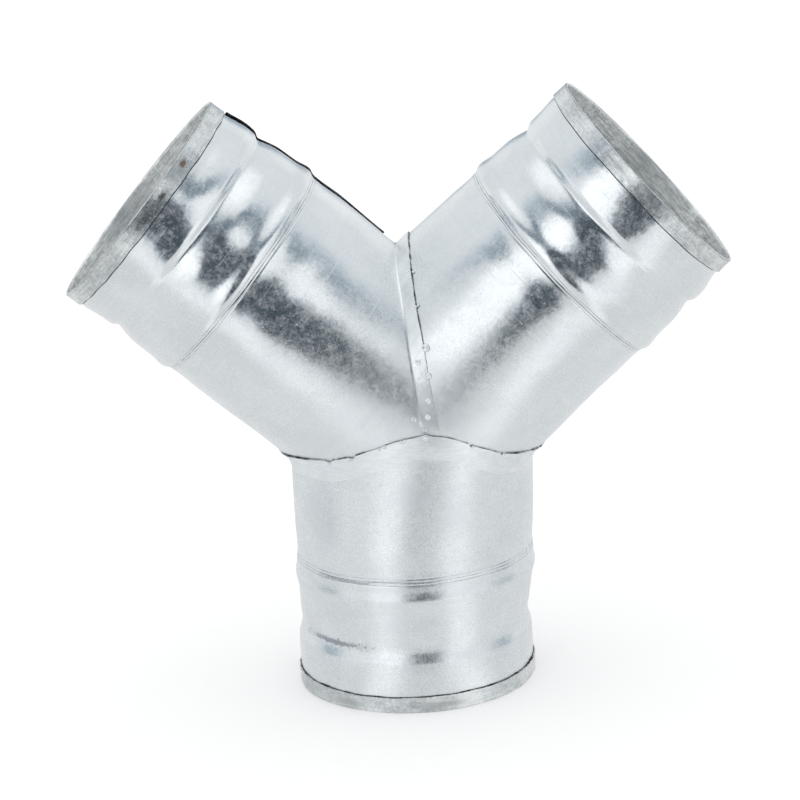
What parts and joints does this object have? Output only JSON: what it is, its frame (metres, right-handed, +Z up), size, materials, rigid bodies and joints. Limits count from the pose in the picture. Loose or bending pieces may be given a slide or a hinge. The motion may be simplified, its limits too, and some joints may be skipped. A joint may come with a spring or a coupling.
{
  "type": "duct y branch",
  "caption": "Galvanised sheet duct Y branch: a round beaded trunk splits into slanted beaded branches, with hemmed mouths for clamping on round ventilation hose.",
  "frame": {"origin": "centre of the trunk's mouth, on the plane that the part stands on", "axes": "+Z up along the trunk's axis, both branches in the XZ plane, -Y towards the viewer of the picture"},
  "size_m": [0.2798, 0.103, 0.2549],
  "materials": {
    "galvanised_sheet": "satin"
  },
  "bodies": {
    "root": {"trunk_collar": "galvanised_sheet", "left_branch": "galvanised_sheet", "right_branch": "galvanised_sheet"}
  },
  "joints": []
}
